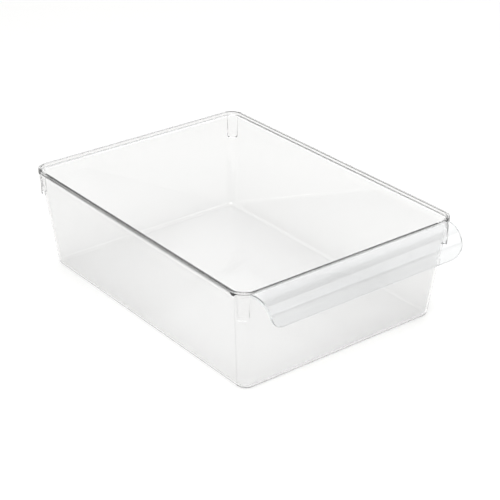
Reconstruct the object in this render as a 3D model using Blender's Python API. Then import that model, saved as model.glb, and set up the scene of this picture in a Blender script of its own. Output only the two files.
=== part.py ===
"""Clear fridge bin: a drafted tray with a stepped rim, a curved pull handle and four corner lugs.

The bin is one injection moulding in clear polystyrene. Its features are made here as separate
solids that meet face to face with a narrow gap: the floor, four walls mitred at the corners,
the rim band, the pull handle and the lugs under the rim.
Metres, +Z up. +X is the bin's width. The handle is on the -Y side. The origin is the bottom
centre of the whole bin, handle included.
"""
import math

import bmesh
import bpy
import numpy as np

# Overall sizes
RIM_WIDTH = 0.210
RIM_LENGTH = 0.284
HEIGHT = 0.088
GAP = 0.0003

# Rim band
RIM_RADIUS = 0.013
RIM_HEIGHT = 0.0042
RIM_LIP = 0.0024

# Walls and floor
THICKNESS = 0.0018
WALL_RADIUS = 0.0095
TOP_INSET = 0.0020
FOOT_INSET = 0.0104
COVE_RADIUS = 0.0050
RIDGE_PITCH = 0.0020
RIDGE_HEIGHT = 0.0002

# Pull handle, as the middle of its sheet
HANDLE_THICKNESS = 0.0024
HANDLE_HALF_WIDTH = 0.0965
HANDLE_TAPER = 0.15
HANDLE_ROOT_DROP = 0.0023
HANDLE_SHELF = 0.0043
HANDLE_BEND = 0.0147
HANDLE_SKIRT = 0.0058
HANDLE_CORNER = 0.0110

# Corner lugs
LUG_DROP = 0.0238
LUG_ROUND = 0.0030
LUG_CENTRE = 0.0115
LUG_TOP_INSET = 0.0012
LUG_FOOT_INSET = 0.0021
LUG_END_ANGLE = 12.0

# Facets
CORNER_STEPS = 12
COVE_STEPS = 6
BEND_STEPS = 12
ROUND_STEPS = 8
ACROSS_STEPS = 12
WELD_DISTANCE = 1e-7

# Clear plastic, a little darker where more of it lies behind
FLOOR_COLOUR = (0.80, 0.84, 0.83)
END_WALL_COLOUR = (0.84, 0.86, 0.86)
SIDE_WALL_COLOUR = (0.87, 0.88, 0.88)
RIM_COLOUR = (0.86, 0.88, 0.88)
HANDLE_COLOUR = (0.83, 0.86, 0.87)
LUG_COLOUR = (0.74, 0.78, 0.79)
GLOSS = 0.06
CLEARNESS = 0.35

# Worked out from the sizes above
WALL_TOP = HEIGHT - RIM_HEIGHT
SLOPE = (FOOT_INSET - TOP_INSET) / WALL_TOP
LEAN = math.hypot(1.0, SLOPE)
COVE_CENTRE = FOOT_INSET - SLOPE * COVE_RADIUS + COVE_RADIUS * LEAN
HANDLE_REACH = HANDLE_SHELF + HANDLE_BEND + HANDLE_THICKNESS / 2
TRAY_Y = HANDLE_REACH / 2
BLANK_HEIGHT = 2 * THICKNESS
CUTTER_HEIGHT = 3 * THICKNESS


def outer_inset(z):
    """How far the outside of a drafted wall lies inside the rim's outer edge at height z."""
    return FOOT_INSET - SLOPE * z


def clear_plastic(name, colour):
    """A Principled material for glossy clear plastic of that colour."""
    made = bpy.data.materials.new(name)
    made.use_nodes = True
    shader = made.node_tree.nodes["Principled BSDF"]
    shader.inputs["Base Color"].default_value = (*colour, 1.0)
    shader.inputs["Roughness"].default_value = GLOSS
    shader.inputs["Alpha"].default_value = CLEARNESS
    return made


def add_node(name, points, faces, colour):
    """A mesh object placed at the tray's centre, with faces turned to point out."""
    mesh = bpy.data.meshes.new(name)
    mesh.from_pydata([tuple(p) for p in points], [], faces)
    work = bmesh.new()
    work.from_mesh(mesh)
    bmesh.ops.remove_doubles(work, verts=work.verts, dist=WELD_DISTANCE)
    bmesh.ops.recalc_face_normals(work, faces=work.faces)
    work.to_mesh(mesh)
    work.free()
    mesh.materials.append(clear_plastic(name, colour))
    node = bpy.data.objects.new(name, mesh)
    node.location = (0.0, TRAY_Y, 0.0)
    bpy.context.scene.collection.objects.link(node)
    return node


def swept_faces(stations, ring, closed):
    """Faces of a solid swept through stations, each with ring points, its ends capped if open."""
    faces = []
    for i in range(stations if closed else stations - 1):
        after = (i + 1) % stations
        for j in range(ring):
            k = (j + 1) % ring
            faces.append((i * ring + j, i * ring + k, after * ring + k, after * ring + j))
    if not closed:
        faces.append(tuple(range(ring)))
        faces.append(tuple(range((stations - 1) * ring, stations * ring)))
    return faces


def corner_point(corner, centre, radius, degrees):
    """A point on the arc at one corner of a rounded rectangle inside the rim's outer edge."""
    sign_x, sign_y, start = corner
    angle = math.radians(start + degrees)
    x = sign_x * (RIM_WIDTH / 2 - centre) + radius * math.cos(angle)
    y = sign_y * (RIM_LENGTH / 2 - centre) + radius * math.sin(angle)
    return x, y


BACK_RIGHT = (1, 1, 0.0)
BACK_LEFT = (-1, 1, 90.0)
FRONT_LEFT = (-1, -1, 180.0)
FRONT_RIGHT = (1, -1, 270.0)


def wall_profile():
    """The wall's cross-section as (inset, z, arc centre): up the outside, then down the inside."""
    tangent = math.pi / 2 - math.atan(SLOPE)
    turn = np.linspace(0.0, tangent, COVE_STEPS + 1)
    foot_centre = outer_inset(COVE_RADIUS) + WALL_RADIUS

    def arc(radius):
        inset = COVE_CENTRE - radius * np.sin(turn)
        z = COVE_RADIUS - radius * np.cos(turn)
        return [(i, h, foot_centre) for i, h in zip(inset, z)]

    top_centre = outer_inset(WALL_TOP) + WALL_RADIUS
    outside = arc(COVE_RADIUS)
    outside.append((outer_inset(WALL_TOP), WALL_TOP, top_centre))
    inside = arc(COVE_RADIUS - THICKNESS)
    inside.append((outer_inset(WALL_TOP) + THICKNESS * LEAN, WALL_TOP, top_centre))
    return outside + inside[::-1]


def make_wall(name, first, second, colour):
    """One wall from the middle of one corner to the middle of the next, with its cove."""
    profile = wall_profile()
    half = CORNER_STEPS // 2
    places = [(first, 45.0 + 45.0 * i / half) for i in range(half + 1)]
    places += [(second, 45.0 * i / half) for i in range(half + 1)]
    points = []
    for index, (corner, degrees) in enumerate(places):
        shift = np.zeros(2)
        if index in (0, len(places) - 1):
            angle = math.radians(corner[2] + 45.0)
            side = GAP / 2 if index == 0 else -GAP / 2
            shift = side * np.array((-math.sin(angle), math.cos(angle)))
        for inset, z, centre in profile:
            x, y = corner_point(corner, centre, centre - inset, degrees)
            points.append((x + shift[0], y + shift[1], z))
    add_node(name, points, swept_faces(len(places), len(profile), False), colour)


def outline(centre, inset, steps):
    """A closed rounded rectangle, inset from the rim's outer edge, as points in plan."""
    points = []
    for corner in (BACK_RIGHT, BACK_LEFT, FRONT_LEFT, FRONT_RIGHT):
        for degrees in np.linspace(0.0, 90.0, steps + 1):
            points.append(corner_point(corner, centre, centre - inset, degrees))
    return points


def make_floor():
    """The flat floor inside the coves, with fine ridges along Y on its upper face."""
    inset = COVE_CENTRE + GAP
    centre = outer_inset(COVE_RADIUS) + WALL_RADIUS
    plan = outline(centre, inset, CORNER_STEPS // 2)
    count = len(plan)
    points = [(x, y, z) for z in (0.0, BLANK_HEIGHT) for x, y in plan]
    floor = add_node("floor_panel", points, swept_faces(2, count, False), FLOOR_COLOUR)

    ridges = 2 * math.ceil((RIM_WIDTH / 2 - inset) / RIDGE_PITCH)
    across = (np.arange(2 * ridges + 1) - ridges) * RIDGE_PITCH / 2
    crest = THICKNESS + RIDGE_HEIGHT * (np.arange(2 * ridges + 1) % 2)
    comb = [(x, z) for x, z in zip(across, crest)]
    comb += [(across[-1], CUTTER_HEIGHT), (across[0], CUTTER_HEIGHT)]
    slab = [(x, y, z) for y in (-RIM_LENGTH / 2, RIM_LENGTH / 2) for x, z in comb]
    cutter = add_node("floor_cutter", slab, swept_faces(2, len(comb), False), FLOOR_COLOUR)
    cutter.hide_render = True
    cutter.display_type = "WIRE"
    cut = floor.modifiers.new("ridges", "BOOLEAN")
    cut.operation = "DIFFERENCE"
    cut.solver = "EXACT"
    cut.object = cutter


def make_rim():
    """The band around the top: the sheet steps out to a ledge, and up to a vertical lip."""
    low = WALL_TOP + GAP
    ledge = WALL_TOP + THICKNESS
    wall_centre = outer_inset(WALL_TOP) + WALL_RADIUS

    def inner(z):
        return outer_inset(z) + THICKNESS * LEAN

    profile = [
        (0.0, low, RIM_RADIUS),
        (0.0, HEIGHT, RIM_RADIUS),
        (RIM_LIP, HEIGHT, RIM_RADIUS),
        (RIM_LIP, ledge, RIM_RADIUS),
        (inner(ledge), ledge, wall_centre),
        (inner(low), low, wall_centre),
    ]
    points = []
    for corner in (BACK_RIGHT, BACK_LEFT, FRONT_LEFT, FRONT_RIGHT):
        for degrees in np.linspace(0.0, 90.0, CORNER_STEPS + 1):
            for inset, z, centre in profile:
                x, y = corner_point(corner, centre, centre - inset, degrees)
                points.append((x, y, z))
    stations = len(points) // len(profile)
    add_node("rim_band", points, swept_faces(stations, len(profile), True), RIM_COLOUR)


def handle_profile(along):
    """Where the middle of the handle's sheet is, and its outward normal, at a distance along."""
    bend = HANDLE_BEND * math.pi / 2
    if along <= HANDLE_SHELF:
        return along, 0.0, 0.0, 1.0
    if along <= HANDLE_SHELF + bend:
        turn = (along - HANDLE_SHELF) / HANDLE_BEND
        out = HANDLE_SHELF + HANDLE_BEND * math.sin(turn)
        drop = HANDLE_BEND * (1.0 - math.cos(turn))
        return out, drop, math.sin(turn), math.cos(turn)
    return HANDLE_SHELF + HANDLE_BEND, HANDLE_BEND + along - HANDLE_SHELF - bend, 1.0, 0.0


def handle_half_width(along, length):
    """Half the handle's width: a slight taper, then a round to the straight lower edge."""
    straight = min(along, length - HANDLE_CORNER)
    half = HANDLE_HALF_WIDTH - HANDLE_TAPER * straight
    past = min(max(along - (length - HANDLE_CORNER), 0.0) / HANDLE_CORNER, 1.0)
    return half - HANDLE_CORNER * (1.0 - math.sqrt(1.0 - past * past))


def make_handle():
    """The pull: a sheet that leaves the rim level, bends down and ends in a short skirt."""
    bend = HANDLE_BEND * math.pi / 2
    length = HANDLE_SHELF + bend + HANDLE_SKIRT
    turns = np.linspace(0.0, bend, BEND_STEPS + 1) + HANDLE_SHELF
    quarter = np.linspace(0.0, math.pi / 2, ROUND_STEPS + 1)
    rounds = length - HANDLE_CORNER * (1.0 - np.sin(quarter))
    stations = sorted({GAP, *turns.tolist(), *rounds.tolist()})
    across = np.linspace(-1.0, 1.0, ACROSS_STEPS + 1)
    points = []
    for along in stations:
        out, drop, normal_out, normal_up = handle_profile(along)
        half = handle_half_width(along, length)
        for side in (1.0, -1.0):
            step = side * HANDLE_THICKNESS / 2
            y = -RIM_LENGTH / 2 - out - step * normal_out
            z = HEIGHT - HANDLE_ROOT_DROP - drop + step * normal_up
            for t in across if side > 0 else across[::-1]:
                points.append((t * half, y, z))
    faces = swept_faces(len(stations), 2 * len(across), False)
    add_node("pull_handle", points, faces, HANDLE_COLOUR)


def make_lug(name, corner):
    """A pad outside one corner, hung under the rim, its lower corners rounded."""
    top = WALL_TOP - GAP
    foot = HEIGHT - LUG_DROP
    angles = np.linspace(LUG_END_ANGLE, 90.0 - LUG_END_ANGLE, CORNER_STEPS + 1)
    radius = LUG_CENTRE - LUG_FOOT_INSET
    points = []
    for degrees in angles:
        edge = radius * math.radians(min(degrees - angles[0], angles[-1] - degrees))
        past = max(LUG_ROUND - edge, 0.0)
        low = foot + LUG_ROUND - math.sqrt(LUG_ROUND**2 - past**2)
        for z, outside in ((top, True), (low, True), (low, False), (top, False)):
            share = (top - z) / (top - foot)
            inset = LUG_TOP_INSET + (LUG_FOOT_INSET - LUG_TOP_INSET) * share
            centre = LUG_CENTRE if outside else outer_inset(z) + WALL_RADIUS
            reach = centre - inset if outside else WALL_RADIUS + GAP
            x, y = corner_point(corner, centre, reach, degrees)
            points.append((x, y, z))
    add_node(name, points, swept_faces(len(angles), 4, False), LUG_COLOUR)


for old in list(bpy.data.objects):
    bpy.data.objects.remove(old)

make_floor()
make_wall("back_wall", BACK_RIGHT, BACK_LEFT, END_WALL_COLOUR)
make_wall("left_wall", BACK_LEFT, FRONT_LEFT, SIDE_WALL_COLOUR)
make_wall("front_wall", FRONT_LEFT, FRONT_RIGHT, END_WALL_COLOUR)
make_wall("right_wall", FRONT_RIGHT, BACK_RIGHT, SIDE_WALL_COLOUR)
make_rim()
make_handle()
make_lug("back_right_lug", BACK_RIGHT)
make_lug("back_left_lug", BACK_LEFT)
make_lug("front_left_lug", FRONT_LEFT)
make_lug("front_right_lug", FRONT_RIGHT)
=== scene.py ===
"""Clear fridge bin on a pale floor, built round its CAD frame.

The real bin is one injection moulding in clear polystyrene. Each of its features is a piece here:
four walls, floor panel, rim band, pull handle and four corner lugs. Where two features meet, their
faces coincide and are marked as joined, so the plastic looks unbroken from one to the next.
Metres, +Z up, in the frame's own place.
"""
import math

import bpy
import numpy as np
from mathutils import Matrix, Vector


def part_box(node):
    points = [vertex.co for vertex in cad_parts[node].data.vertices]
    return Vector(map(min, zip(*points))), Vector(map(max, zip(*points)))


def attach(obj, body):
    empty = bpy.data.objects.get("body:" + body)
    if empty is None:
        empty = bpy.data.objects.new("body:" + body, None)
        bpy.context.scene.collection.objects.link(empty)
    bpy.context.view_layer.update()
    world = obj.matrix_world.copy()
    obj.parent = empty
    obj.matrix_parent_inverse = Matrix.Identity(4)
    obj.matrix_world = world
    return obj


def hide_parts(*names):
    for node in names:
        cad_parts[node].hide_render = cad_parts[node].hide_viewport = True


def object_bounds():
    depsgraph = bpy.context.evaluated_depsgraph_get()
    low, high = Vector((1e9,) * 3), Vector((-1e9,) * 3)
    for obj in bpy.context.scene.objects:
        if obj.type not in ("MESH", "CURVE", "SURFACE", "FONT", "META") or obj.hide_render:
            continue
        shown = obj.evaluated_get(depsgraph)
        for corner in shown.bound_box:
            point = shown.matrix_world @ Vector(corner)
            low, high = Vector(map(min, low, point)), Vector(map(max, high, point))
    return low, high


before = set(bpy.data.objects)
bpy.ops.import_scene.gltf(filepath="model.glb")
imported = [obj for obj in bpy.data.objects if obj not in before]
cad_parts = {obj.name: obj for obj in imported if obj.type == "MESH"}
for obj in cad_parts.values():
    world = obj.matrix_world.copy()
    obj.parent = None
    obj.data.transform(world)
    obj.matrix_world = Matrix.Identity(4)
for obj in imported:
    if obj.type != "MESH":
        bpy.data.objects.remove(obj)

cad_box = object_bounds()

# ---------------------------------------------------------------- camera
# A long lens, from the left of the handle end and well above the rim, so that the bin's long
# side and its handle both show and the floor fills the whole frame.
CAMERA_AZIMUTH = -37.8
CAMERA_ELEVATION = 27.04
CAMERA_DISTANCE = 1.2098
CAMERA_LENS = 105.94
CAMERA_SENSOR = 36.0
CAMERA_NEAR = 0.05
CAMERA_FAR = 50.0
AIM_ACROSS = 0.0132
AIM_HEIGHT = 0.0303

rim_low, rim_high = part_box("rim_band")
TRAY_Y = (rim_low.y + rim_high.y) / 2

azimuth = math.radians(CAMERA_AZIMUTH)
elevation = math.radians(CAMERA_ELEVATION)
backwards = Vector((
    math.sin(azimuth) * math.cos(elevation),
    -math.cos(azimuth) * math.cos(elevation),
    math.sin(elevation),
))
camera_data = bpy.data.cameras.new("camera")
camera_data.lens = CAMERA_LENS
camera_data.sensor_width = CAMERA_SENSOR
camera_data.clip_start = CAMERA_NEAR
camera_data.clip_end = CAMERA_FAR
camera = bpy.data.objects.new("camera", camera_data)
camera.location = Vector((AIM_ACROSS, TRAY_Y, AIM_HEIGHT)) + backwards * CAMERA_DISTANCE
camera.rotation_euler = (-backwards).to_track_quat("-Z", "Y").to_euler()
bpy.context.scene.collection.objects.link(camera)
bpy.context.scene.camera = camera

# ---------------------------------------------------------------- floor
# A flat board painted matt white, with a faint mottle in its finish. It is wide enough to fill
# the camera's view.
FLOOR_HALF = 4.0
FLOOR_COLOUR = "#F7F7F6"
FLOOR_GRAIN = 0.004
FLOOR_MATT = (0.84, 0.90)
FLOOR_SHEEN = 0.2
FLOOR_BELOW = 0.0002


def linear(colour):
    """An sRGB hex colour as the linear red, green, blue and alpha that a shader takes."""
    channels = [int(colour[i:i + 2], 16) / 255 for i in (1, 3, 5)]
    return [c / 12.92 if c <= 0.04045 else ((c + 0.055) / 1.055) ** 2.4 for c in channels] + [1.0]


def node(tree, kind, settings=None, **links):
    """Adds a node, sets its properties and inputs, and links the inputs given as sockets."""
    made = tree.nodes.new(kind)
    for key, value in (settings or {}).items():
        setattr(made, key, value)
    for key, value in links.items():
        place = int(key[1:]) if key[0] == "_" else key.replace("_", " ")
        if isinstance(value, bpy.types.NodeSocket):
            tree.links.new(value, made.inputs[place])
        else:
            made.inputs[place].default_value = value
    return made


def new_material(name):
    """An empty node material and its tree."""
    material = bpy.data.materials.new(name)
    material.use_nodes = True
    material.node_tree.nodes.clear()
    return material, material.node_tree


def painted_board():
    """Matt white paint: even, with the faint mottle of a rolled coat."""
    material, tree = new_material("matt_white_board")
    place = node(tree, "ShaderNodeTexCoord")
    mottle = node(tree, "ShaderNodeTexNoise", Vector=place.outputs["Object"],
                  Scale=1 / FLOOR_GRAIN, Detail=3.0)
    tone = node(tree, "ShaderNodeMapRange", Value=mottle.outputs["Fac"],
                To_Min=FLOOR_MATT[0], To_Max=FLOOR_MATT[1])
    shader = node(tree, "ShaderNodeBsdfPrincipled", Base_Color=linear(FLOOR_COLOUR),
                  Roughness=tone.outputs["Result"], Specular_IOR_Level=FLOOR_SHEEN)
    node(tree, "ShaderNodeOutputMaterial", Surface=shader.outputs["BSDF"])
    return material


floor_mesh = bpy.data.meshes.new("floor")
floor_mesh.from_pydata(
    [(-FLOOR_HALF, -FLOOR_HALF, 0), (FLOOR_HALF, -FLOOR_HALF, 0),
     (FLOOR_HALF, FLOOR_HALF, 0), (-FLOOR_HALF, FLOOR_HALF, 0)], [], [(0, 1, 2, 3)])
floor_mesh.materials.append(painted_board())
floor = bpy.data.objects.new("floor", floor_mesh)
floor.location.z = cad_box[0].z - FLOOR_BELOW
bpy.context.scene.collection.objects.link(floor)

# ---------------------------------------------------------------- light
# A white studio: a lit backdrop behind the bin and a pale ceiling, with the room half dark on the
# handle's side, which draws the grey lines along the plastic's edges. Three soft boxes stand
# round it: one lights the floor, and two give the handle its long highlights.
BACKDROP_TOWARDS = (0.613, 0.790, 0.0)
BACKDROP_GLOW = 1.25
BACKDROP_EDGE = 0.6
ROOM_GLOW = 0.55
CEILING_GLOW = 0.85
CEILING_FROM = 0.5
CEILING_FULL = 0.9
# Each soft box's place, its side and its power.
SOFT_BOXES = (
    ((-0.85, -0.75, 1.3), 1.1, 13.4),
    ((1.2, 1.0, 1.54), 1.4, 2.5),
    ((1.25, -1.55, 1.1), 1.5, 7.5),
)

bpy.context.scene.view_settings.view_transform = "Standard"
world = bpy.data.worlds.new("white_studio")
world.use_nodes = True
bpy.context.scene.world = world
sky = world.node_tree
sky.nodes.clear()
direction = node(sky, "ShaderNodeTexCoord").outputs["Generated"]
behind = node(sky, "ShaderNodeVectorMath", {"operation": "DOT_PRODUCT"},
              _0=direction, _1=BACKDROP_TOWARDS)
backdrop = node(sky, "ShaderNodeMapRange", {"interpolation_type": "SMOOTHSTEP"},
                Value=behind.outputs["Value"], From_Min=0.0, From_Max=BACKDROP_EDGE,
                To_Min=ROOM_GLOW, To_Max=BACKDROP_GLOW)
up = node(sky, "ShaderNodeSeparateXYZ", Vector=direction)
ceiling = node(sky, "ShaderNodeMapRange", {"interpolation_type": "SMOOTHSTEP"},
               Value=up.outputs["Z"], From_Min=CEILING_FROM, From_Max=CEILING_FULL,
               To_Min=0.0, To_Max=CEILING_GLOW)
brighter = node(sky, "ShaderNodeMath", {"operation": "MAXIMUM"},
                _0=backdrop.outputs["Result"], _1=ceiling.outputs["Result"])
glow = node(sky, "ShaderNodeBackground", Color=(1.0, 1.0, 1.0, 1.0),
            Strength=brighter.outputs["Value"])
node(sky, "ShaderNodeOutputWorld", Surface=glow.outputs["Background"])

for index, (place, size, power) in enumerate(SOFT_BOXES):
    lamp_data = bpy.data.lights.new(f"soft_box_{index}", "AREA")
    lamp_data.shape = "SQUARE"
    lamp_data.size = size
    lamp_data.energy = power
    lamp = bpy.data.objects.new(f"soft_box_{index}", lamp_data)
    lamp.location = place
    lamp.rotation_euler = Vector(place).to_track_quat("Z", "Y").to_euler()
    bpy.context.scene.collection.objects.link(lamp)

# ---------------------------------------------------------------- walls
# Four drafted sides of the tray, with rounded corners and a cove down to the floor. They are
# clear polystyrene, flowed into a polished steel mould, and mitred here at the corners.
WIDTH = rim_high.x - rim_low.x
LENGTH = rim_high.y - rim_low.y
TOP = rim_high.z
RIM_HEIGHT = 0.0042
THICKNESS = 0.0018
WALL_RADIUS = 0.0095
TOP_INSET = 0.0020
FOOT_INSET = 0.0104
COVE_RADIUS = 0.0050
WALL_TOP = TOP - RIM_HEIGHT
SLOPE = (FOOT_INSET - TOP_INSET) / WALL_TOP
LEAN = math.hypot(1.0, SLOPE)
COVE_CENTRE = FOOT_INSET - SLOPE * COVE_RADIUS + COVE_RADIUS * LEAN
FOOT_CENTRE = FOOT_INSET - SLOPE * COVE_RADIUS + WALL_RADIUS
COVE_STEPS = 8
TURN_STEP = 1.5
SHARP_ANGLE = 32.0
EVEN_WEIGHT = 100

LUG_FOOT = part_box("front_left_lug")[0].z
LUG_END = 12.0
LUG_ROUND = 0.0030
LUG_TOP_INSET = 0.0012
LUG_FOOT_INSET = 0.0021
LUG_EDGE_ROUND = 0.0004
LUG_EDGE_SHARE = 0.8

CORNERS = {"back_right": (1, 1, 0), "back_left": (-1, 1, 90),
           "front_left": (-1, -1, 180), "front_right": (1, -1, 270)}
TURNS = np.arange(0.0, 90.0 + TURN_STEP / 2, TURN_STEP)


def corner_stations(corner, turns):
    """Stations round one corner: its sign in x and y, and the outward direction at each turn."""
    sign_x, sign_y, start = CORNERS[corner]
    angle = np.radians(start + turns)
    anchor = np.tile((float(sign_x), float(sign_y)), (len(turns), 1))
    return anchor, np.stack((np.cos(angle), np.sin(angle)), 1)


def loop_points(anchor, outward, inset, centre, z):
    """Points round the tray: the corner's arc centre, which lies centre inside the rim's outer
    edge both ways, plus an arc radius of centre less inset along the outward direction."""
    half = np.array((WIDTH / 2, LENGTH / 2))
    inset, centre, z = np.broadcast_arrays(inset, centre, z)
    plan = anchor[:, None] * (half - centre[..., None])
    plan = plan + outward[:, None] * (centre - inset)[..., None]
    return np.concatenate((plan + (0.0, TRAY_Y), z[..., None]), -1)


def outer_inset(z):
    """How far the outside of a drafted wall lies inside the rim's outer edge at height z."""
    return FOOT_INSET - SLOPE * z


def lug_arm(turns):
    """Distance round the corner from a lug's nearer end."""
    return WALL_RADIUS * np.radians(np.minimum(turns - LUG_END, 90.0 - LUG_END - turns))


def lug_low(turns):
    """Height of a lug's lower edge: level, with a quarter circle up at each end."""
    past = np.clip(LUG_ROUND - lug_arm(turns), 0.0, LUG_ROUND)
    return LUG_FOOT + LUG_ROUND - np.sqrt(LUG_ROUND**2 - past**2)


def lug_face(turns, z):
    """A lug's face as an inset: it leans in a little towards its foot, and near its edge a
    quarter round brings it back towards the wall."""
    down = (WALL_TOP - z) / (WALL_TOP - LUG_FOOT)
    flat = LUG_TOP_INSET + (LUG_FOOT_INSET - LUG_TOP_INSET) * down
    depth = np.minimum(lug_arm(turns), z - lug_low(turns))
    share = np.clip(depth / LUG_EDGE_ROUND, 0.0, 1.0)
    full = LUG_EDGE_SHARE + (1.0 - LUG_EDGE_SHARE) * np.sqrt(1.0 - (1.0 - share) ** 2)
    return outer_inset(z) - (outer_inset(z) - flat) * full


PLASTIC_IOR = 1.59
HAZE_PATCHES = 45.0
HAZE_MOST = 0.03
WAVES = 18.0
WAVE_STRENGTH = 0.05
WAVE_HEIGHT = 0.002
# What a shadow or diffuse ray keeps where the surface would mirror all of it.
SHADE_LEFT = 0.2


def clear_polystyrene(name, tint):
    """Crystal polystyrene, moulded: water clear and glossy, with a high sparkle for a plastic,
    slow waves where it froze in the mould and a little more haze in some places than others.
    Shadow and diffuse rays pass straight through, less most of what the surface mirrors."""
    material, tree = new_material(name)
    place = node(tree, "ShaderNodeTexCoord")
    haze = node(tree, "ShaderNodeTexNoise", Vector=place.outputs["Object"],
                Scale=HAZE_PATCHES, Detail=2.0)
    gloss = node(tree, "ShaderNodeMapRange", Value=haze.outputs["Fac"],
                 To_Min=0.0, To_Max=HAZE_MOST)
    wave = node(tree, "ShaderNodeTexNoise", Vector=place.outputs["Object"],
                Scale=WAVES, Detail=1.0)
    bump = node(tree, "ShaderNodeBump", Height=wave.outputs["Fac"],
                Strength=WAVE_STRENGTH, Distance=WAVE_HEIGHT)
    shader = node(tree, "ShaderNodeBsdfPrincipled", Base_Color=linear(tint), IOR=PLASTIC_IOR,
                  Roughness=gloss.outputs["Result"], Normal=bump.outputs["Normal"],
                  Transmission_Weight=1.0)
    side = node(tree, "ShaderNodeNewGeometry")
    index = node(tree, "ShaderNodeMapRange", Value=side.outputs["Backfacing"],
                 To_Min=PLASTIC_IOR, To_Max=1 / PLASTIC_IOR)
    mirror = node(tree, "ShaderNodeFresnel", IOR=index.outputs["Result"])
    passed = node(tree, "ShaderNodeMapRange", Value=mirror.outputs["Fac"],
                  To_Min=1.0, To_Max=SHADE_LEFT)
    clear = node(tree, "ShaderNodeBsdfTransparent", Color=passed.outputs["Result"])
    path = node(tree, "ShaderNodeLightPath")
    bounced = node(tree, "ShaderNodeMixShader", _0=path.outputs["Is Diffuse Ray"],
                   _1=shader.outputs["BSDF"], _2=clear.outputs["BSDF"])
    mix = node(tree, "ShaderNodeMixShader", _0=path.outputs["Is Shadow Ray"],
               _1=bounced.outputs["Shader"], _2=clear.outputs["BSDF"])
    node(tree, "ShaderNodeOutputMaterial", Surface=mix.outputs["Shader"])
    return material


def joined_inside():
    """The faces where two features of the one moulding meet. No surface is there to be seen."""
    material, tree = new_material("joined_inside")
    clear = node(tree, "ShaderNodeBsdfTransparent", Color=(1.0, 1.0, 1.0, 1.0))
    node(tree, "ShaderNodeOutputMaterial", Surface=clear.outputs["BSDF"])
    return material


PLASTIC_TINT = "#F2F2F2"
PLASTIC = clear_polystyrene("clear_polystyrene", PLASTIC_TINT)
JOINED = joined_inside()


def skin(name, front, back, joined, loop=False, satin=(), plastic=PLASTIC):
    """A solid between two grids of stations by rows, closed round its borders. joined names the
    sides that meet another piece, or masks the faces of a side that do. satin names the sides
    with a satin finish. The material slots are the plastic, then joined, then satin."""
    stations, rows = front.shape[:2]
    ids = np.arange(stations * rows).reshape(stations, rows)
    far = ids + stations * rows
    if loop:
        ids = np.concatenate((ids, ids[:1]))
        far = np.concatenate((far, far[:1]))

    def grid(a, flip=False):
        quads = np.stack((a[:-1, :-1], a[1:, :-1], a[1:, 1:], a[:-1, 1:]), -1)
        return (quads[..., ::-1] if flip else quads).reshape(-1, 4)

    def border(a, b):
        return grid(np.stack((a, b), 1))

    sides = [("front", grid(ids)), ("back", grid(far, True)),
             ("foot", border(far[:, 0], ids[:, 0])), ("top", border(ids[:, -1], far[:, -1]))]
    if not loop:
        sides.append(("start", border(ids[0], far[0])))
        sides.append(("end", border(far[-1], ids[-1])))
    marks = []
    for side, quads in sides:
        mark = np.broadcast_to(np.asarray(joined.get(side, False)).reshape(-1), len(quads))
        marks.append(np.where(mark, 1, 2 * (side in satin)).astype(np.int32))
    mesh = bpy.data.meshes.new(name)
    points = np.concatenate((front.reshape(-1, 3), back.reshape(-1, 3)))
    mesh.from_pydata(points.tolist(), [], np.concatenate([q for _, q in sides]).tolist())
    mesh.materials.append(plastic)
    mesh.materials.append(JOINED)
    if satin:
        mesh.materials.append(SATIN)
    mesh.polygons.foreach_set("material_index", np.concatenate(marks))
    mesh.shade_smooth()
    mesh.set_sharp_from_angle(angle=math.radians(SHARP_ANGLE))
    piece = bpy.data.objects.new(name, mesh)
    bpy.context.scene.collection.objects.link(piece)
    even = piece.modifiers.new("even_shading", "WEIGHTED_NORMAL")
    even.weight = EVEN_WEIGHT
    even.keep_sharp = True
    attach(piece, "root")
    return piece


def wall_rows(radius, offset, extra):
    """A wall's insets, arc centres and heights: a cove arc of that radius, then straight up."""
    turn = np.linspace(0.0, math.pi / 2 - math.atan(SLOPE), COVE_STEPS + 1)
    stations = extra.shape[0]
    z = np.tile(np.append(COVE_RADIUS - radius * np.cos(turn), (0.0, WALL_TOP)), (stations, 1))
    z[:, -2] = extra
    inset = outer_inset(z) + offset
    inset[:, :COVE_STEPS + 1] = COVE_CENTRE - radius * np.sin(turn)
    centre = outer_inset(z) + WALL_RADIUS
    centre[:, :COVE_STEPS + 1] = FOOT_CENTRE
    return inset, centre, z


def make_wall(first, second, name):
    """One wall, from the middle of one corner to the middle of the next."""
    half = len(TURNS) // 2
    anchor_a, outward_a = corner_stations(first, TURNS[half:])
    anchor_b, outward_b = corner_stations(second, TURNS[:half + 1])
    anchor = np.concatenate((anchor_a, anchor_b))
    outward = np.concatenate((outward_a, outward_b))
    turns = np.concatenate((TURNS[half:], TURNS[:half + 1]))
    inside_lug = (turns >= LUG_END) & (turns <= 90.0 - LUG_END)
    row = np.where(inside_lug, lug_low(turns), LUG_FOOT)
    front = loop_points(anchor, outward, *wall_rows(COVE_RADIUS, 0.0, row))
    inner = wall_rows(COVE_RADIUS - THICKNESS, THICKNESS * LEAN, row)
    back = loop_points(anchor, outward, *inner)
    met = np.zeros((len(turns) - 1, front.shape[1] - 1), bool)
    met[:, -1] = inside_lug[1:] & inside_lug[:-1]
    joined = {"front": met, "foot": True, "top": True, "start": True, "end": True}
    piece = skin(name, front, back, joined)
    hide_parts(name.replace("moulded_", ""))
    return piece


make_wall("back_right", "back_left", "moulded_back_wall")
make_wall("back_left", "front_left", "moulded_left_wall")
make_wall("front_left", "front_right", "moulded_front_wall")
make_wall("front_right", "back_right", "moulded_right_wall")

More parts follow.
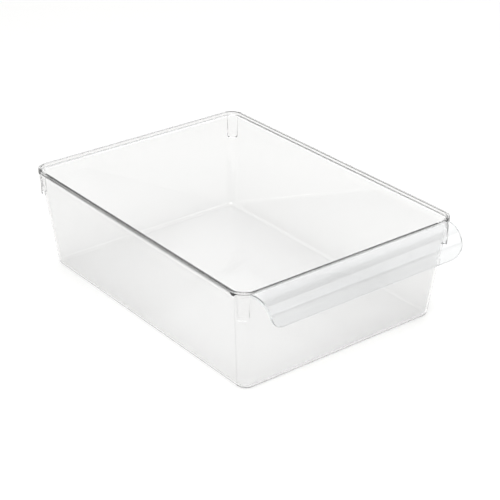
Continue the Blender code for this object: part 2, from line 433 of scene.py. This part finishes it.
# ---------------------------------------------------------------- floor panel
# The tray's flat bottom, the same sheet of plastic as the walls. Its upper face has fine round
# ridges along the bin, cut in the mould, so that wet packs don't stick to it.
RIDGE_PITCH = 0.0020
RIDGE_HEIGHT = 0.00005
RIDGE_FADE = 0.0016
RIDGE_POINTS = 8
FADE_STEPS = 5
MIDDLE_ROWS = 7


def make_floor_panel():
    """Columns across at each part of a ridge, as long as the rounded outline allows. The ridges
    are a cosine wave across, and sink into the floor near its edge."""
    radius = FOOT_CENTRE - COVE_CENTRE
    arc_x = WIDTH / 2 - FOOT_CENTRE + radius * np.sin(np.radians(TURNS))
    arc_y = LENGTH / 2 - FOOT_CENTRE + radius * np.cos(np.radians(TURNS))
    edge = arc_x[-1]
    half = np.arange(0.0, edge - RIDGE_PITCH / RIDGE_POINTS / 2, RIDGE_PITCH / RIDGE_POINTS)
    half = np.unique(np.concatenate((half, arc_x)))
    x = np.concatenate((-half[:0:-1], half))
    end = np.interp(np.abs(x), arc_x, arc_y)
    fade = np.linspace(0.0, RIDGE_FADE, FADE_STEPS)
    middle = np.linspace(-1.0, 1.0, MIDDLE_ROWS)[None] * (end - RIDGE_FADE)[:, None]
    y = np.concatenate((fade - end[:, None], middle[:, 1:-1], end[:, None] - fade[::-1]), 1)
    x = np.broadcast_to(x[:, None], y.shape)
    depth = np.minimum(edge - np.abs(x), end[:, None] - np.abs(y))
    share = np.clip(depth / RIDGE_FADE, 0.0, 1.0)
    share = share * share * (3.0 - 2.0 * share)
    crest = 0.5 - 0.5 * np.cos(2.0 * math.pi * x / RIDGE_PITCH)
    top = np.stack((x, y + TRAY_Y, THICKNESS + RIDGE_HEIGHT * crest * share), -1)
    low = np.stack((x, y + TRAY_Y, np.zeros_like(x)), -1)
    joined = {"foot": True, "top": True, "start": True, "end": True}
    piece = skin("moulded_floor_panel", top, low, joined)
    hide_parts("floor_panel")


make_floor_panel()

# ---------------------------------------------------------------- rim band
# The band round the top of the walls. The sheet steps out to a ledge as thick as the walls, and
# up to a thicker lip, which stiffens the open edge. The mould rounds its edges a little.
RIM_RADIUS = 0.0130
RIM_LIP = 0.0024
UPPER_ROUND = 0.0006
LOWER_ROUND = 0.0003
INNER_ROUND = 0.0005
LEDGE_ROUND = 0.0005
ROUND_STEPS = 5
LEDGE_STEPS = 3

# The handle's root lies in the rim's face, so these sizes serve both.
HANDLE_THICKNESS = 0.0024
HANDLE_EDGE = 0.0009
HANDLE_ROOT_DROP = 0.0023
HANDLE_END_TURN = 19.5
HANDLE_COLUMNS = 60
HANDLE_ROUND = 0.0005
ROOT_SLACK = 1e-6


def rim_stations():
    """Stations round the whole rim, with extra ones along the front for the handle's root."""
    anchors, outwards, turns = [], [], []
    for corner in CORNERS:
        anchor, outward = corner_stations(corner, TURNS)
        anchors.append(anchor)
        outwards.append(outward)
        turns.append(TURNS)
        if corner == "front_left":
            share = np.linspace(-1.0, 1.0, HANDLE_COLUMNS + 1)[1:-1]
            anchors.append(np.stack((share, -np.ones_like(share)), 1))
            outwards.append(np.tile((0.0, -1.0), (len(share), 1)))
            turns.append(np.zeros_like(share))
    return np.concatenate(anchors), np.concatenate(outwards), np.concatenate(turns)


def sheet_half(depth):
    """Half the handle's thickness at a distance in from its edge: a quarter round, then even."""
    share = np.clip(depth / HANDLE_ROUND, 0.0, 1.0)
    full = HANDLE_THICKNESS / 2
    return HANDLE_EDGE + (full - HANDLE_EDGE) * np.sqrt(1.0 - (1.0 - share) ** 2)


def make_rim_band():
    """One section carried round the loop. The front is the ledge's underside, a round, the lip
    and the top round. The back is the ledge's inner edge, a fillet, and up inside the lip."""
    anchor, outward, turns = rim_stations()
    in_lug = (turns >= LUG_END) & (turns <= 90.0 - LUG_END)
    handle_z = TOP - HANDLE_ROOT_DROP
    root_end = WIDTH / 2 - RIM_RADIUS + RIM_RADIUS * math.sin(math.radians(HANDLE_END_TURN))
    x = anchor[:, 0] * (WIDTH / 2 - RIM_RADIUS) + RIM_RADIUS * outward[:, 0]
    at_root = (outward[:, 1] < 0) & (np.abs(x) <= root_end + ROOT_SLACK)
    half = np.where(at_root, sheet_half(root_end - np.abs(x)), HANDLE_THICKNESS / 2)

    quarter = np.linspace(0.0, math.pi / 2, ROUND_STEPS + 1)
    wall_centre = outer_inset(WALL_TOP) + WALL_RADIUS
    inset = [TOP_INSET, LUG_TOP_INSET, *(LOWER_ROUND * (1.0 - np.sin(quarter))), 0.0, 0.0,
             *(UPPER_ROUND * (1.0 - np.cos(quarter)))]
    z = [WALL_TOP, WALL_TOP, *(WALL_TOP + LOWER_ROUND * (1.0 - np.cos(quarter))), 0.0, 0.0,
         *(TOP - UPPER_ROUND * (1.0 - np.sin(quarter)))]
    centre = [wall_centre, wall_centre] + [RIM_RADIUS] * (len(z) - 2)
    z = np.tile(z, (len(x), 1))
    inset = np.tile(inset, (len(x), 1))
    inset[in_lug, 1] = lug_face(turns[in_lug], WALL_TOP)
    low_row = 2 + ROUND_STEPS + 1
    z[:, low_row] = handle_z - half
    z[:, low_row + 1] = handle_z + half
    front = loop_points(anchor, outward, inset, np.array(centre), z)

    ledge = WALL_TOP + THICKNESS
    inner = outer_inset(ledge) + THICKNESS * LEAN
    short = np.linspace(0.0, math.pi / 2, LEDGE_STEPS + 1)
    back_inset = [outer_inset(WALL_TOP) + THICKNESS * LEAN,
                  *(inner - LEDGE_ROUND * (1.0 - np.cos(short))),
                  *(RIM_LIP + LEDGE_ROUND * (1.0 - np.sin(short))), RIM_LIP,
                  *(RIM_LIP - INNER_ROUND * (1.0 - np.cos(quarter)))]
    back_z = [WALL_TOP, *(ledge - LEDGE_ROUND * (1.0 - np.sin(short))),
              *(ledge + LEDGE_ROUND * (1.0 - np.cos(short))), (ledge + TOP) / 2,
              *(TOP - INNER_ROUND * (1.0 - np.sin(quarter)))]
    back_centre = [wall_centre] * (LEDGE_STEPS + 2)
    back_centre += [RIM_RADIUS] * (len(back_z) - len(back_centre))
    back = loop_points(anchor, outward, np.array(back_inset), np.array(back_centre),
                       np.tile(back_z, (len(x), 1)))

    after = np.roll(np.arange(len(x)), -1)
    met = np.zeros((len(x), z.shape[1] - 1), bool)
    met[:, low_row] = at_root & at_root[after]
    met[:, 0] = in_lug & in_lug[after]
    piece = skin("moulded_rim_band", front, back, {"front": met, "foot": True}, True)
    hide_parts("rim_band")


make_rim_band()

# ---------------------------------------------------------------- pull handle
# A curved sheet that leaves the rim level, bends down and ends in a short skirt, so that
# fingers hook behind it. It is moulded with the rim, and its free edge is rounded and satin.
HANDLE_TAPER = 0.15
HANDLE_SHELF = 0.0043
HANDLE_BEND = 0.0147
HANDLE_CORNER = 0.0110
SATIN_TINT = "#F4F6F7"
SATIN_ROUGHNESS = 0.55
SATIN_SPREAD = 0.1
SATIN_CLEARNESS = 0.3
SATIN_GRAIN = 900.0
HANDLE_SKIRT = TOP - HANDLE_ROOT_DROP - HANDLE_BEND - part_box("pull_handle")[0].z
BEND_ROWS = 24
CORNER_ROWS = 24


def satin_edge():
    """The same plastic along the mould's parting line, where a fine spark-eroded finish scatters
    the light that runs inside the sheet, so the edge shows as a soft white line."""
    material, tree = new_material("satin_parting_edge")
    place = node(tree, "ShaderNodeTexCoord")
    grain = node(tree, "ShaderNodeTexNoise", Vector=place.outputs["Object"], Scale=SATIN_GRAIN)
    tone = node(tree, "ShaderNodeMapRange", Value=grain.outputs["Fac"],
                To_Min=SATIN_ROUGHNESS - SATIN_SPREAD,
                To_Max=SATIN_ROUGHNESS + SATIN_SPREAD)
    shader = node(tree, "ShaderNodeBsdfPrincipled", Base_Color=linear(SATIN_TINT),
                  Roughness=tone.outputs["Result"], IOR=PLASTIC_IOR,
                  Transmission_Weight=SATIN_CLEARNESS)
    node(tree, "ShaderNodeOutputMaterial", Surface=shader.outputs["BSDF"])
    return material


SATIN = satin_edge()
# The handle's sheet is a third thicker than the walls, and takes a little more of the light.
THICKER_TINT = "#EFF0F1"
THICKER = clear_polystyrene("clear_polystyrene_thicker", THICKER_TINT)


def handle_middle(along):
    """Middle of the sheet: how far out and down it is, and its outward normal, at each distance
    along it. Level for the shelf, then a quarter circle, then straight down."""
    turn = np.clip((along - HANDLE_SHELF) / HANDLE_BEND, 0.0, math.pi / 2)
    out = np.minimum(along, HANDLE_SHELF) + HANDLE_BEND * np.sin(turn)
    past = np.maximum(along - HANDLE_SHELF - HANDLE_BEND * math.pi / 2, 0.0)
    down = HANDLE_BEND * (1.0 - np.cos(turn)) + past
    return out, down, np.sin(turn), np.cos(turn)


def make_pull_handle():
    """A grid of columns across by rows along the sheet. The outline tapers, then rounds off in a
    quarter circle at each lower corner, and the thickness falls away near the edge."""
    length = HANDLE_SHELF + HANDLE_BEND * math.pi / 2 + HANDLE_SKIRT
    steps = round(HANDLE_END_TURN / TURN_STEP)
    side = WIDTH / 2 - RIM_RADIUS
    arc = np.radians(TURN_STEP * np.arange(1, steps + 1))
    run = np.linspace(0.0, side, HANDLE_COLUMNS // 2 + 1)
    right = np.concatenate((run, side + RIM_RADIUS * np.sin(arc)))
    across = np.concatenate((right[:0:-1], -right)) / right[-1]
    sag = np.concatenate((np.zeros_like(run), RIM_RADIUS * (1.0 - np.cos(arc))))
    sag = np.concatenate((sag[:0:-1], sag))

    level = np.linspace(0.0, length - HANDLE_CORNER, BEND_ROWS + 1)
    quarter = np.sin(np.radians(np.linspace(0.0, 90.0, CORNER_ROWS + 1)))
    along = np.append(level[:-1], length - HANDLE_CORNER * (1.0 - quarter))
    past = np.clip((along - length + HANDLE_CORNER) / HANDLE_CORNER, 0.0, 1.0)
    half = right[-1] - HANDLE_TAPER * np.minimum(along, length - HANDLE_CORNER)
    half = half - HANDLE_CORNER * (1.0 - np.sqrt(1.0 - past**2))
    x = across[:, None] * half

    corner_x = right[-1] - HANDLE_TAPER * (length - HANDLE_CORNER) - HANDLE_CORNER
    over_x = np.maximum(np.abs(x) - corner_x, 0.0)
    over_y = np.maximum(along - length + HANDLE_CORNER, 0.0)[None]
    in_corner = HANDLE_CORNER - np.hypot(over_x, over_y)
    depth = np.where(over_y > 0, in_corner, half - np.abs(x))
    thick = sheet_half(depth)
    out, down, normal_out, normal_up = handle_middle(along)
    y = TRAY_Y - LENGTH / 2 - out + np.zeros_like(x)
    y[:, 0] += sag
    z = TOP - HANDLE_ROOT_DROP - down
    front = np.stack((x, y - thick * normal_out, z + thick * normal_up), -1)
    back = np.stack((x, y + thick * normal_out, z - thick * normal_up), -1)
    piece = skin("moulded_pull_handle", front, back, {"foot": True},
                 satin=("top", "start", "end"), plastic=THICKER)
    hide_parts("pull_handle")


make_pull_handle()

# ---------------------------------------------------------------- corner lugs
# A pad on the outside of each corner, hung under the rim, with rounded lower corners. It keeps
# nested bins from wedging together. It is moulded with the wall.
LUG_ROWS = 8
LUG_ROUND_ROWS = 5


def make_lug(corner):
    """The wall's own outside as the back, and the pad's face in front of it, row for row. The
    rows crowd together near the rounded lower edge."""
    turns = TURNS[(TURNS >= LUG_END) & (TURNS <= 90.0 - LUG_END)]
    anchor, outward = corner_stations(corner, turns)
    low = lug_low(turns)[:, None]
    quarter = np.linspace(0.0, math.pi / 2, LUG_ROUND_ROWS)
    edge = low + LUG_EDGE_ROUND * (1.0 - np.cos(quarter))
    share = np.linspace(0.0, 1.0, LUG_ROWS)[1:]
    z = np.concatenate((edge, edge[:, -1:] + (WALL_TOP - edge[:, -1:]) * share), 1)
    wall_centre = outer_inset(WALL_TOP) + WALL_RADIUS
    front = loop_points(anchor, outward, lug_face(turns[:, None], z), wall_centre, z)
    back = loop_points(anchor, outward, outer_inset(z), outer_inset(z) + WALL_RADIUS, z)
    piece = skin(f"moulded_{corner}_lug", front, back, {"back": True, "top": True})
    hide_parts(f"{corner}_lug")


for corner in CORNERS:
    make_lug(corner)
